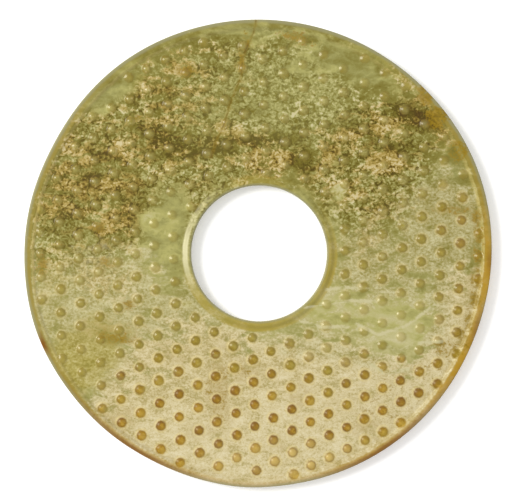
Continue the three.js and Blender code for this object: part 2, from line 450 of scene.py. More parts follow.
class StoneColours(bpy.types.PropertyGroup):
    """The stone's colours, as the picture shows them."""

    crevice: colour("Crevice", "Pits in the crust", 92, 80, 30)
    deep_olive: colour("Deep olive", "Darkest clear jade", 118, 107, 44)
    olive: colour("Olive", "Darker clear jade", 136, 128, 64)
    green: colour("Green", "Common green of the jade", 155, 150, 88)
    pale_green: colour("Pale green", "Lightest clear jade", 181, 174, 116)
    yellow_green: colour("Yellow green", "Warmer clouds in the clear jade", 168, 159, 80)
    umber: colour("Umber", "Pits where the crust is warm", 84, 66, 20)
    deep_gold: colour("Deep gold", "Dark warm crust", 112, 92, 38)
    gold: colour("Gold", "Warm crust", 144, 123, 57)
    tan: colour("Tan", "Lighter warm crust", 165, 142, 73)
    buff: colour("Buff", "Pale warm crust", 184, 162, 98)
    chalk: colour("Chalk", "Half-bleached ground", 202, 194, 150)
    chalk_shade: colour("Chalk shade", "Darker half-bleached ground", 152, 140, 78)
    chalk_green: colour("Chalk green", "Common half-bleached ground", 180, 170, 120)
    cool_olive: colour("Cool olive", "Darker clear jade without crust", 138, 131, 64)
    cool_green: colour("Cool green", "Clear jade without crust", 154, 150, 92)
    cool_pale: colour("Cool pale", "Light clear jade without crust", 178, 173, 106)
    honey_shade: colour("Honey shade", "Darker yellow jade", 146, 131, 55)
    honey: colour("Honey", "Yellow jade near the left edge", 170, 156, 82)
    pale_honey: colour("Pale honey", "Lightest yellow jade", 191, 179, 115)
    # Partly the worn line's own colour, partly painted highlight on the rim's bank
    rim_line: colour("Rim line", "Pale worn line inside the rim", 214, 194, 120)
    smudge: colour("Smudge", "Soft stain on the bleached ground", 174, 152, 96)
    cream_shade: colour("Cream shade", "Darker grain of the bleached ground", 176, 159, 104)
    cream: colour("Cream", "Bleached ground", 208, 193, 147)
    pale_cream: colour("Pale cream", "Lightest bleached ground", 222, 210, 172)
    # Painted light on the bosses on jade: a painted glow on the side away from the key light, painted
    # shade at the foot facing it
    drop_glow: colour("Drop heart", "Bosses on jade, where light gathers", 168, 154, 72)
    drop: colour("Drop", "Bosses on jade", 150, 134, 50)
    drop_shade: colour("Drop foot", "Foot of the bosses on jade", 128, 110, 41)
    # Partly the crust bosses' own cool colour, partly painted sheen
    bead_and_sheen: colour("Bead", "Cool heart of the bosses in the crust", 176, 171, 116)
    # Painted light on the amber bosses: a painted glow away from the key light, painted shade at the
    # foot facing it
    amber_glow: colour("Amber heart", "Bosses on bleached ground, where light gathers", 190, 154, 60)
    boss_amber: colour("Boss amber", "Bosses on bleached ground", 160, 122, 27)
    amber_shade: colour("Boss foot", "Foot of those bosses", 122, 84, 20)
    faded_boss: colour("Faded boss", "Pale yellow bosses near the bottom edge", 206, 178, 100)
    halo: colour("Halo", "Glow round those bosses", 220, 201, 138)
    rim_amber: colour("Rim amber", "Stained rim", 179, 142, 49)
    rim_olive: colour("Rim olive", "Rim on the green side", 154, 137, 66)
    rim_brown: colour("Rim brown", "Darkest edge of the rim", 130, 85, 20)
    lip: colour("Lip", "Outermost edge where it isn't stained", 152, 148, 110)
    collar: colour("Collar", "Stained collar round the hole", 170, 151, 66)
    # Painted highlight on the side of the collar's bank that faces the key light
    highlight_crescent: colour("Crescent", "Pale worn side of the collar", 218, 211, 168)
    stain: colour("Stain", "Stain on the stone", 150, 123, 36)
    rust: colour("Rust", "Deepest stain and crack", 110, 90, 26)


class StageSettings(bpy.types.PropertyGroup):
    """Floor, lights and camera."""

    key_power: bpy.props.FloatProperty(
        name="Key light", description="Soft light from the upper left", default=13.6
    )
    sky: bpy.props.FloatProperty(
        name="Sky", description="Even light from all round", default=0.84
    )
    camera_distance: bpy.props.FloatProperty(
        name="Camera distance",
        description="From the disc's face up to the camera",
        default=0.6,
        unit="LENGTH",
    )
    frame_width: bpy.props.FloatProperty(
        name="Frame width",
        description="What the picture's width takes in at the disc's face",
        default=0.15324,
        unit="LENGTH",
    )


class Plate:
    """The sizes in millimetres, and the shape of the disc without its bosses."""

    def __init__(self, sizes):
        for name in sizes.__annotations__:
            setattr(self, name, getattr(sizes, name) * MM)
        low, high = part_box("jade_disc")
        self.thickness = (high[2] - low[2]) * MM
        self.radius = self.diameter / 2
        self.hole_radius = self.hole_diameter / 2
        self.hole_centre = np.array([self.hole_shift_x, self.hole_shift_y])
        self.top = self.thickness / 2
        self.ground = self.top - self.ground_depth

    def edge_radius(self, angle):
        """How far the edge lies from the middle, at angles in radians."""
        degrees = np.degrees(angle)
        share = np.full_like(degrees, 1 - EDGE_INSET)
        for middle, width, swell in EDGE_SWELLS:
            share += swell * bell(degrees, middle, width)
        return self.radius * share

    def from_edge(self, points):
        """How far each point lies inside the edge."""
        return self.edge_radius(angle_of(points)) - np.hypot(points[:, 0], points[:, 1])

    def from_hole(self, points):
        """How far each point lies outside the hole."""
        away = points - self.hole_centre
        return np.hypot(away[:, 0], away[:, 1]) - self.hole_radius

    def rim_width_at(self, angle):
        """The rim's width, which drifts round the disc."""
        return self.rim_width + self.rim_drift * np.sin(angle)

    def face_height(self, points):
        """The height of a face over the disc's middle plane, before the bosses."""
        width = self.rim_width_at(angle_of(points))
        rim = self.raised_band(self.from_edge(points), width, self.rim_bank)
        around = np.full(len(points), self.collar_width)
        collar = self.raised_band(self.from_hole(points), around, self.collar_bank)
        return np.maximum(rim, collar)

    def raised_band(self, inset, width, bank):
        """A rounded edge, a slightly crowned flat and an eased bank down to the ground."""
        inset = np.maximum(inset, 0)
        short = np.maximum(self.edge_round - inset, 0)
        height = self.top - self.edge_round + np.sqrt(self.edge_round**2 - short**2)
        across = np.clip((inset - width / 2) / (width / 2), -1, 1)
        height = height - self.rim_crown * across**2 * (inset > self.edge_round)
        fall = np.clip((inset - width) / bank, 0, 1)
        fall = fall * fall * (3 - 2 * fall)
        return height + (self.ground - height) * fall


def angle_of(points):
    """The direction of each point from the middle, in radians from +X."""
    return np.arctan2(points[:, 1], points[:, 0])


def bell(degrees, middle, width):
    """1 at the middle angle, dying away on both sides of it."""
    away = (degrees - middle + 180) % 360 - 180
    return np.exp(-((away / width) ** 2))


def uneven(column, row, salt):
    """A fixed uneven number between -1 and 1."""
    turn = column * UNEVEN_COLUMN + row * UNEVEN_ROW + salt * UNEVEN_SALT
    wave = math.sin(turn) * UNEVEN_STEEPNESS
    return 2 * (wave - math.floor(wave)) - 1


def net_place(plate, column, row):
    """Where the net puts a boss, in radii. Every other column is half a step further up."""
    u = (column * math.sqrt(0.75) * plate.boss_spacing + plate.net_shift_x) / plate.radius
    v = ((row + 0.5 * (column % 2)) * plate.boss_spacing + plate.net_shift_y) / plate.radius
    fan = COLUMN_FAN * u + COLUMN_SPREAD * u * u + COLUMN_BULGE * u * v
    stretch = ROW_STRETCH + ROW_GROWTH * v + ROW_FAN * u * v
    return u + v * (fan - COLUMN_LEAN), v + v * stretch + u * (ROW_HOOK * u * u - ROW_FALL)


def boss_centres(plate, face):
    """The centres of a face's bosses, with the column and row of each."""
    radius = plate.radius
    reach = math.ceil(radius / plate.boss_spacing * NET_REACH)
    centres = []
    for column in range(-reach, reach + 1):
        for row in range(-reach, reach + 1):
            x, y = net_place(plate, column, row)
            x = x * radius + plate.boss_scatter * uneven(column, row, face.salt)
            y = y * radius + plate.boss_scatter * uneven(column, row, face.salt + 1)
            gone = face is FRONT and any(
                math.hypot(x / radius - wx, y / radius - wy) < wide for wx, wy, wide in WORN_AWAY
            )
            if not gone:
                centres.append((x, y, column, row))
    centres = np.array(centres)
    to_rim = plate.from_edge(centres[:, :2]) - plate.rim_width
    to_collar = plate.from_hole(centres[:, :2]) - plate.collar_width
    return centres[(to_rim >= plate.boss_to_rim) & (to_collar >= plate.boss_to_collar)]


def patch_strength(patches, points, softness):
    """How strongly the patches cover each point, from 0 to 1."""
    strength = np.zeros(len(points))
    for x, y, long, broad, turn, most in patches:
        cos, sin = math.cos(math.radians(turn)), math.sin(math.radians(turn))
        dx, dy = points[:, 0] - x, points[:, 1] - y
        along = (dx * cos + dy * sin) / long
        across = (dy * cos - dx * sin) / broad
        inside = (1 - np.hypot(along, across)) * min(long, broad) / softness
        strength = np.maximum(strength, most * np.clip(0.5 + inside, 0, 1))
    return strength


def arc_strength(arcs, degrees):
    """How strongly the arcs colour each angle."""
    strength = np.zeros_like(degrees)
    for middle, width, most in arcs:
        strength = np.maximum(strength, most * bell(degrees, middle, width))
    return strength


def line_strength(lines, points, half_width):
    """How near each point lies to the lines: 1 on a line, 0 from half_width away."""
    nearest = np.full(len(points), math.inf)
    for line in lines:
        for start, end in zip(line[:-1], line[1:]):
            start, end = np.array(start), np.array(end)
            step = end - start
            share = np.clip(((points - start) @ step) / (step @ step), 0, 1)
            away = points - start - share[:, None] * step
            nearest = np.minimum(nearest, np.hypot(away[:, 0], away[:, 1]))
    return np.clip(1 - nearest / half_width, 0, 1)


def ring_points(radii, count, centre=(0.0, 0.0)):
    """Points at even angles round a ring."""
    angles = np.linspace(0, 2 * math.pi, count, endpoint=False)
    return np.column_stack([
        centre[0] + radii * np.cos(angles),
        centre[1] + radii * np.sin(angles),
    ])


def band_points(plate):
    """Rings of points along rim and collar. The edge's own ring comes first, then the hole's."""
    angles = np.linspace(0, 2 * math.pi, EDGE_STEPS, endpoint=False)
    edge = plate.edge_radius(angles)
    width = plate.rim_width_at(angles)

    def by_hole(inset):
        return ring_points(plate.hole_radius + inset, HOLE_STEPS, plate.hole_centre)

    rings = [ring_points(edge, EDGE_STEPS), by_hole(0)]
    for share in ROUND_RINGS:
        inset = plate.edge_round * share
        rings += [ring_points(edge - inset, EDGE_STEPS), by_hole(inset)]
    for share in RIM_RINGS:
        rings.append(ring_points(edge - width * share, EDGE_STEPS))
    for share in RIM_BANK_RINGS:
        rings.append(ring_points(edge - width - plate.rim_bank * share, EDGE_STEPS))
    rings += [by_hole(plate.collar_width * share) for share in COLLAR_RINGS]
    rings += [by_hole(plate.collar_width + plate.collar_bank * f) for f in COLLAR_BANK_RINGS]
    return np.vstack(rings)


def boss_ring_points(plate, face, centres):
    """The points at the middle of each boss and on the rings round it."""
    radius = plate.boss_diameter / 2
    points = [centres[:, :2]]
    for n, share in enumerate(face.boss_rings):
        count = face.boss_steps if share > SMALL_RING else face.boss_steps // 2
        turn = 2 * math.pi * (np.arange(count) + 0.5 * (n % 2)) / count
        around = radius * share * np.column_stack([np.cos(turn), np.sin(turn)])
        points.append((centres[:, None, :2] + around[None]).reshape(-1, 2))
    return np.vstack(points)


def fill_points(plate, step, centres, clear):
    """An even field of points over the disc, with every boss left clear."""
    reach = int(plate.radius / step) + 2
    columns, rows = np.meshgrid(np.arange(-reach, reach + 1), np.arange(-2 * reach, 2 * reach + 1))
    fill = np.column_stack([
        ((columns + 0.5 * (rows % 2)) * step).ravel(),
        (rows * step * math.sqrt(0.75)).ravel(),
    ])
    fill = fill[np.hypot(fill[:, 0], fill[:, 1]) < plate.radius]
    for x, y in centres[:, :2]:
        fill = fill[np.hypot(fill[:, 0] - x, fill[:, 1] - y) >= clear]
    return fill


def on_ground(plate, points, gap):
    """Which points lie on the sunk ground, with a gap to the rings of both banks."""
    inner = plate.rim_width_at(angle_of(points)) + plate.rim_bank * RIM_BANK_RINGS[-1]
    outer = plate.collar_width + plate.collar_bank * COLLAR_BANK_RINGS[-1]
    return (plate.from_edge(points) > inner + gap) & (plate.from_hole(points) > outer + gap)


def face_points(plate, face, centres):
    """The mesh points of one face: its bands first, then its bosses and the ground between."""
    step = getattr(plate, face.mesh_step)
    gap = FILL_GAP * step
    bosses = boss_ring_points(plate, face, centres)
    fill = fill_points(plate, step, centres, plate.boss_diameter / 2 * face.boss_rings[-1] + gap)
    return np.vstack([
        band_points(plate),
        bosses[on_ground(plate, bosses, BOSS_GAP)],
        fill[on_ground(plate, fill, gap)],
    ])


def face_triangles(points):
    """Triangles between the points, without those outside the edge or across the hole."""
    result = delaunay_2d_cdt([Vector(point) for point in points], [], [], 0, TOUCHING)
    if len(result[0]) != len(points):
        raise RuntimeError("two mesh points of the disc lie on each other")
    triangles = np.array(result[2])
    on_edge = triangles < EDGE_STEPS
    on_hole = (triangles >= EDGE_STEPS) & (triangles < EDGE_STEPS + HOLE_STEPS)
    triangles = triangles[~on_edge.all(axis=1) & ~on_hole.all(axis=1)]
    corner = points[triangles]
    first, second = corner[:, 1] - corner[:, 0], corner[:, 2] - corner[:, 0]
    turned = first[:, 0] * second[:, 1] < first[:, 1] * second[:, 0]
    triangles[turned] = triangles[turned][:, ::-1]
    return triangles


def wall_quads(starts):
    """The faces of the edge's wall and the hole's, between rings that begin at these points."""
    quads = []
    for upper, lower in zip(starts[:-1], starts[1:]):
        for offset, count, outside in ((0, EDGE_STEPS, True), (EDGE_STEPS, HOLE_STEPS, False)):
            here = np.arange(count)
            after = (here + 1) % count
            a, b = lower + offset + here, lower + offset + after
            c, d = upper + offset + after, upper + offset + here
            quads.append(np.column_stack([a, b, c, d] if outside else [b, a, d, c]))
    return np.vstack(quads)


def disc_mesh(plate, front_centres, back_centres):
    """The plate as one closed mesh, flat between its rims, with its patches as attributes."""
    front = face_points(plate, FRONT, front_centres)
    back = face_points(plate, BACK, back_centres)
    borders = front[:EDGE_STEPS + HOLE_STEPS]
    wall_top = plate.top - plate.edge_round
    walls = [
        np.column_stack([borders, np.full(len(borders), wall_top * (1 - 2 * share))])
        for share in WALL_RINGS
    ]
    vertices = np.vstack([
        np.column_stack([front, plate.face_height(front)]),
        np.column_stack([back, -plate.face_height(back)]),
        *walls,
    ])
    back_start = len(front)
    wall_start = back_start + len(back)
    wall_starts = [wall_start + n * len(borders) for n in range(len(walls))]
    polygons = face_triangles(front).tolist()
    polygons += (back_start + face_triangles(back)[:, ::-1]).tolist()
    polygons += wall_quads([0, *wall_starts, back_start]).tolist()

    mesh = bpy.data.meshes.new("jade_bi_disc")
    mesh.from_pydata((vertices / MM).tolist(), [], polygons)
    if mesh.validate():
        raise RuntimeError("the disc's plate has faulty faces")
    side = np.zeros(len(vertices))
    side[:back_start] = FRONT.side
    side[back_start:wall_start] = BACK.side
    store(mesh, "side", side)
    add_patches(mesh, plate, vertices)
    return mesh


def store(mesh, name, values):
    """Keep one number for each point of a mesh."""
    attribute = mesh.attributes.new(name, "FLOAT", "POINT")
    attribute.data.foreach_set("value", np.asarray(values, dtype=np.float32))


def add_patches(mesh, plate, vertices):
    """Store where the stone is bleached, crusted, stained, worn or painted with highlight."""
    flat = vertices[:, :2]
    # The back and the lowest part of the walls stay plain
    front = vertices[:, 2] > -plate.top * 0.5
    angle = angle_of(flat)
    for name, arcs in (
        ("rim_amber", RIM_AMBER),
        ("rim_olive", RIM_OLIVE),
        ("rim_brown", RIM_BROWN),
        ("rim_line", RIM_LINE_AND_HIGHLIGHT),
        ("collar_warm", COLLAR_WARM),
        ("collar_pale", COLLAR_HIGHLIGHT),
    ):
        store(mesh, name, arc_strength(arcs, np.degrees(angle)))
    store(mesh, "rim_reach", plate.from_edge(flat) / plate.rim_width_at(angle))
    store(mesh, "collar_reach", plate.from_hole(flat) / plate.collar_width)
    for name, patches, softness in (
        ("pale", PALE, 9.0),
        ("chalk", CHALK, 10.0),
        ("clear", CLEAR, 8.0),
        ("crust", CRUST, 12.0),
        ("dark", DARK, 4.0),
        ("buff", BUFF, 4.0),
        ("amber", AMBER, 2.0),
        ("warm", WARM, 26.0),
        ("moss", MOSS, 12.0),
        ("honey", HONEY, 9.0),
        ("smudge", SMUDGE, 6.0),
        ("faded", FADED, 6.0),
    ):
        store(mesh, name, np.where(front, patch_strength(patches, flat, softness), 0))
    store(mesh, "crack", np.where(front, line_strength([CRACK], flat, CRACK_REACH), 0))
    store(mesh, "vein", np.where(front, line_strength(VEINS, flat, VEIN_REACH), 0))


def boss_points(plate, face, centres):
    """The bosses' centres as a mesh of points, with each one's own width, height and tone."""
    name = face.name + "_boss_centres"
    mesh = bpy.data.meshes.new(name)
    height = np.full(len(centres), face.side * plate.ground)
    mesh.from_pydata((np.column_stack([centres[:, :2], height]) / MM).tolist(), [], [])
    draws = np.array([
        [uneven(column, row, face.salt + n) for n in (2, 3, 4)] for _, _, column, row in centres
    ])
    worn = patch_strength(CLEAR, centres[:, :2], WORN_SOFTNESS)
    pale = patch_strength(PALE, centres[:, :2], WORN_SOFTNESS)
    height = COMMON_HEIGHT - WORN_DROP * worn * (1 - pale)
    store(mesh, "wide", 1 + WIDTH_SPREAD * draws[:, 0])
    store(mesh, "tall", (1 + HEIGHT_SPREAD * draws[:, 1]) * height)
    store(mesh, "tint", 0.5 + 0.5 * draws[:, 2])
    return bpy.data.objects.new(name, mesh)


class Value:
    """What a node gives. It is added, taken away and multiplied as a plain number is."""

    def __init__(self, board, socket):
        self.board = board
        self.socket = socket

    def __add__(self, other):
        return self.board.math("ADD", self, other)

    def __sub__(self, other):
        return self.board.math("SUBTRACT", self, other)

    def __rsub__(self, other):
        return self.board.math("SUBTRACT", other, self)

    def __mul__(self, other):
        return self.board.math("MULTIPLY", self, other)

    __radd__ = __add__
    __rmul__ = __mul__

    def eased(self, low, high, start=0.0, end=1.0):
        """Eased from start, where this is at low, to end, where it is at high."""
        inputs = dict(enumerate((self, low, high, start, end)))
        return self.board.add("ShaderNodeMapRange", inputs, interpolation_type="SMOOTHSTEP")

    def swing(self, amount):
        """This noise as a number that swings round zero."""
        return (self - 0.5) * amount

    def ragged(self, low, high, swings):
        """This patch's strength with its border broken up by swings of noise."""
        return (self + swings).eased(low, high) * self.eased(0.0, 0.15)


class Board:
    """Places and links the nodes of one tree."""

    def __init__(self, tree):
        self.tree = tree

    def add(self, kind, inputs=None, output=0, **settings):
        """Set up a new node and give one of its outputs, if it has any."""
        node = self.tree.nodes.new(kind)
        for name, value in settings.items():
            setattr(node, name, value)
        for name, value in (inputs or {}).items():
            if isinstance(value, Value):
                self.tree.links.new(value.socket, node.inputs[name])
            else:
                node.inputs[name].default_value = value
        return Value(self, node.outputs[output]) if node.outputs else None

    def split(self, vector):
        """The X, Y and Z of a vector."""
        first = self.add("ShaderNodeSeparateXYZ", {"Vector": vector})
        return [Value(self, socket) for socket in first.socket.node.outputs]

    def math(self, operation, *values, clamp=False):
        """One step of arithmetic."""
        inputs = dict(enumerate(values))
        return self.add("ShaderNodeMath", inputs, operation=operation, use_clamp=clamp)

    def vector(self, operation, *values, output="Vector"):
        """One step of arithmetic with vectors."""
        inputs = dict(enumerate(values))
        return self.add("ShaderNodeVectorMath", inputs, output, operation=operation)

    def larger(self, first, second):
        """The larger of two values at each point."""
        return self.math("MAXIMUM", first, second)

    def less(self, whole, part):
        """The whole less a part of it, kept between 0 and 1."""
        return self.math("SUBTRACT", whole, part, clamp=True)

    def noise(self, vector, scale, detail, roughness, distortion):
        """Noise round 0.5."""
        return self.add("ShaderNodeTexNoise", {
            "Vector": vector,
            "Scale": scale,
            "Detail": detail,
            "Roughness": roughness,
            "Distortion": distortion,
        })


def carving_tree():
    """The Geometry Nodes that raise the bosses of one face and wear its surface."""
    tree = bpy.data.node_groups.new("Carve bosses", "GeometryNodeTree")
    tree.interface.new_socket("Geometry", in_out="OUTPUT", socket_type="NodeSocketGeometry")
    lengths = ("Boss radius", "Boss height", "Ground", "Foot groove", "Waviness", "Crust height")
    for kind, names in (
        ("NodeSocketGeometry", ("Plate",)),
        ("NodeSocketObject", ("Boss centres",)),
        ("NodeSocketFloat", ("Side", *lengths)),
        ("NodeSocketVector", ("Glow shift",)),
        ("NodeSocketMaterial", ("Stone",)),
    ):
        for name in names:
            tree.interface.new_socket(name, in_out="INPUT", socket_type=kind)
    board = Board(tree)
    sockets = tree.nodes.new("NodeGroupInput").outputs
    given = {socket.name: Value(board, socket) for socket in sockets}
    position = board.add("GeometryNodeInputPosition")
    centres = board.add("GeometryNodeObjectInfo", {"Object": given["Boss centres"]}, "Geometry")
    nearest = board.add(
        "GeometryNodeSampleNearest", {"Geometry": centres, "Sample Position": position}, "Index"
    )

    def named(name):
        return board.add("GeometryNodeInputNamedAttribute", {"Name": name}, "Attribute")

    def of_boss(value, data_type="FLOAT"):
        """What a value is at the middle of the nearest boss."""
        inputs = {"Geometry": centres, "Value": value, "Index": nearest}
        return board.add("GeometryNodeSampleIndex", inputs, data_type=data_type)

    # How many boss radii each point lies from its boss's middle, and from where light gathers
    away = board.vector("SUBTRACT", position, of_boss(position, "FLOAT_VECTOR"))
    away = board.vector("MULTIPLY", away, (1, 1, 0))
    radius = given["Boss radius"] * of_boss(named("wide"))
    away = board.vector("MULTIPLY", away, board.math("DIVIDE", 1.0, radius))
    reach = board.vector("LENGTH", away, output="Value")
    glow = board.vector("SUBTRACT", away, given["Glow shift"])
    glow = board.vector("LENGTH", glow, output="Value")

    # A boss is a dome with a shallow groove round its foot
    dome = board.less(1.0, reach * reach) * (given["Boss height"] * of_boss(named("tall")))
    groove = reach.eased(*GROOVE_START) * reach.eased(*GROOVE_END, 1.0, 0.0)
    groove = groove * given["Foot groove"]

    # Wear: slow waves, and grit where the stone is crusted
    wave = board.noise(position, *GROUND_NOISE) - 0.5
    grit = board.larger(board.noise(position, *CRUST_NOISE) - CRUST_LEVEL, -PIT_DEPTH)
    grit = grit * given["Crust height"] * CRUST_WILDNESS * named("crust")
    worn = wave * given["Waviness"] + grit

    x, y, z = board.split(position)
    height = z * given["Side"]
    lowness = (height - given["Ground"]).eased(0.0, WEAR_REACH, 1.0, 0.0)
    ground = (worn - groove) * lowness + height
    raised = worn * BOSS_WEAR + (given["Ground"] + dome)
    carved = board.add("ShaderNodeMix", {
        "Factor": reach.eased(1.0, 1.02),
        "A": board.larger(ground, raised),
        "B": ground,
    }, data_type="FLOAT")
    placed = board.add("ShaderNodeCombineXYZ", {"X": x, "Y": y, "Z": carved * given["Side"]})

    here = {"A": named("side"), "B": given["Side"]}
    here = board.add("FunctionNodeCompare", here, data_type="FLOAT", operation="EQUAL")
    shape = board.add("GeometryNodeSetPosition", {
        "Geometry": given["Plate"],
        "Selection": here,
        "Position": placed,
    })
    tint = of_boss(named("tint"))
    for name, value in (("boss_reach", reach), ("boss_glow", glow), ("boss_tint", tint)):
        inputs = {"Geometry": shape, "Selection": here, "Name": name, "Value": value}
        shape = board.add(
            "GeometryNodeStoreNamedAttribute", inputs, data_type="FLOAT", domain="POINT"
        )
    shape = board.add("GeometryNodeRealizeInstances", {"Geometry": shape})
    shape = board.add("GeometryNodeSetMaterial", {"Geometry": shape, "Material": given["Stone"]})
    board.add("NodeGroupOutput", {"Geometry": shape})
    return tree


def carve(plate, disc, tree, face, points, stone):
    """Run the carving over one face of the disc and keep the result as its mesh."""
    modifier = disc.modifiers.new("Carve bosses", "NODES")
    modifier.node_group = tree
    sockets = {item.name: item.identifier for item in tree.interface.items_tree}
    values = {
        "Boss centres": points,
        "Side": float(face.side),
        "Boss radius": plate.boss_diameter / 2 / MM,
        "Boss height": (plate.ground_depth - plate.boss_below_rim) / MM,
        "Ground": plate.ground / MM,
        "Foot groove": plate.foot_groove / MM,
        "Waviness": plate.waviness / MM,
        "Crust height": plate.crust_height / MM,
        "Glow shift": GLOW_SHIFT,
        "Stone": stone,
    }
    for name, value in values.items():
        modifier[sockets[name]] = value
    bpy.context.view_layer.update()
    graph = bpy.context.evaluated_depsgraph_get()
    carved = bpy.data.meshes.new_from_object(
        disc.evaluated_get(graph), preserve_all_data_layers=True, depsgraph=graph
    )
    disc.modifiers.remove(modifier)
    disc.data = carved


class Paint(Board):
    """The stone's noises and zones, and its colour as the layers build it up."""

    def __init__(self, tree, colours):
        super().__init__(tree)
        self.colours = colours
        self.base = None
        place = self.add("ShaderNodeTexCoord", output="Object")
        place = self.vector("MULTIPLY", place, (MM, MM, MM))
        for name, (stretch, *noise) in NOISES.items():
            setattr(self, name, self.noise(self.vector("MULTIPLY", place, stretch), *noise))
        self.x, self.y, _ = self.split(place)
        self.fade = self.y.eased(30.0, -35.0)
        self.wander = self.drift.swing(1.6) + self.mottle.swing(1.3)
        self.fringe = self.mottle.swing(1.6) + self.fleck.swing(1.6) + self.grain.swing(0.8)
        self.clear = self.attribute("clear").ragged(0.3, 0.9, self.wander)
        crust = self.attribute("crust").ragged(0.1, 0.9, self.wander + self.fringe)
        self.crust = self.less(crust, self.clear * 0.85)
        self.honey = self.attribute("honey").ragged(0.1, 0.9, self.wander)
        self.reach = self.attribute("boss_reach") + self.grain.swing(0.3) + self.fleck.swing(0.3)
        self.boss = self.reach.eased(0.76, 1.14, 1.0, 0.0)

    def attribute(self, name):
        """A number kept with the mesh."""
        return self.add("ShaderNodeAttribute", output="Fac", attribute_name=name)

    def ramp(self, value, *stops):
        """A colour for each value between the stops."""
        colour = self.add("ShaderNodeValToRGB", {"Fac": value}, "Color")
        elements = colour.socket.node.color_ramp.elements
        elements[0].position, elements[1].position = stops[0][0], stops[-1][0]
        for place, _ in stops[1:-1]:
            elements.new(place)
        for element, (_, rgb) in zip(elements, stops):
            element.color = (*rgb, 1)
        return colour

    def cover(self, under, over, share):
        """The colour over laid on the colour under by a share from 0 to 1."""
        under, over = (c if isinstance(c, Value) else (*c, 1) for c in (under, over))
        return self.add("ShaderNodeMix", {0: share, 6: under, 7: over}, 2, data_type="RGBA")

    def lay(self, colour, share):
        """Lay a colour over the stone so far."""
        self.base = self.cover(self.base, colour, share)


def lay_jade(p):
    """Green jade, wilder and partly golden under crust, and calm and cool where it is clear."""
    colours = p.colours
    buff = p.attribute("buff").ragged(0.2, 0.9, p.fringe)
    dark = p.attribute("dark").ragged(0.2, 0.9, p.fringe)
    moss = p.attribute("moss")
    calm = (
        0.475 + p.mottle.swing(0.35) + p.cloud.swing(0.2) + p.clear * p.drift.swing(0.5)
        + p.fade * 0.12 + buff * 0.135 - dark * 0.165
    )
    flecks = (p.fleck.swing(0.75) + p.grain.swing(0.55)) * (p.crust + 0.2)
    lace = p.math("ABSOLUTE", p.curl - 0.52).eased(0.07, 0.0)
    gap = p.reach.eased(0.8, 1.0) * p.reach.eased(1.5, 1.1)
    curls = p.curl.swing(0.65) + lace * 0.07 - gap * 0.06 - 0.02
    level = calm + flecks + curls * p.crust
    p.base = p.ramp(
        level,
        (0.28, colours.crevice),
        (0.37, colours.deep_olive),
        (0.45, colours.olive),
        (0.53, colours.green),
        (0.62, colours.pale_green),
        (0.74, colours.chalk),
    )
    gold = p.ramp(
        level,
        (0.28, colours.umber),
        (0.38, colours.deep_gold),
        (0.47, colours.gold),
        (0.54, colours.tan),
        (0.62, colours.buff),
        (0.75, colours.cream),
    )
    warmth = (
        0.42 + p.drift.swing(1.6) + p.mottle.swing(1.0) + p.curl.swing(0.8)
        + buff * 0.35 - moss * 0.3
    )
    p.lay(gold, warmth.eased(0.3, 0.75) * p.crust)
    yellow = (p.mottle + p.drift.swing(0.8)).eased(0.42, 0.66) * 0.45
    p.lay(colours.yellow_green, yellow * (1.0 - p.crust))
    cool = p.ramp(
        calm + p.fade * 0.05 + flecks * (p.crust * 0.7 + 0.3),
        (0.36, colours.cool_olive),
        (0.485, colours.cool_green),
        (0.60, colours.cool_pale),
        (0.76, colours.chalk),
    )
    p.lay(cool, p.clear * 0.8)
    p.lay(cool, moss * p.crust * 0.6)
    yellow_jade = p.ramp(
        0.47 + p.fleck.swing(0.6) + p.grain.swing(0.7) + p.mottle.swing(0.5),
        (0.34, colours.honey_shade),
        (0.50, colours.honey),
        (0.66, colours.pale_honey),
    )
    p.lay(yellow_jade, p.honey * 0.85)


def lay_bleached_ground(p):
    """Bleached ground: half bleached is chalky, fully bleached is cream."""
    colours = p.colours
    whitened = p.attribute("pale")
    blur = p.mottle.swing(1.4) + p.grain.swing(0.7)
    half = p.larger(p.attribute("chalk"), whitened.eased(0.0, 0.6))
    chalk = half.ragged(0.1, 0.85, p.wander + blur)
    chalk = chalk * (1.0 - p.larger(p.honey * 0.8, p.crust * 0.5))
    chalky = p.ramp(
        0.455 + p.grain.swing(0.95) + p.mottle.swing(0.7) + p.speck.swing(0.4)
        - p.x * 0.0003 + p.fade * 0.05,
        (0.32, colours.chalk_shade),
        (0.50, colours.chalk_green),
        (0.68, colours.chalk),
    )
    p.lay(chalky, chalk * 0.9)
    pale = whitened.ragged(0.1, 0.8, p.wander + blur)
    pale = pale * (1.0 - p.larger(p.clear * 0.6, p.honey * 0.9))
    p.pale = p.larger(pale, whitened.eased(0.65, 0.95, 0.0, 0.85))
    low = (p.y - p.x * 0.3).eased(-20.0, -55.0)
    creamy = p.ramp(
        0.4 + low * 0.13 + p.speck.swing(0.6) + p.grain.swing(0.7) + p.mottle.swing(0.8),
        (0.30, colours.cream_shade),
        (0.50, colours.cream),
        (0.74, colours.pale_cream),
    )
    p.lay(creamy, p.pale * 0.92)
    p.lay(colours.smudge, p.attribute("smudge").ragged(0.1, 0.9, p.fringe) * 0.55)
    p.bleached = p.larger(p.pale, chalk * 0.7)


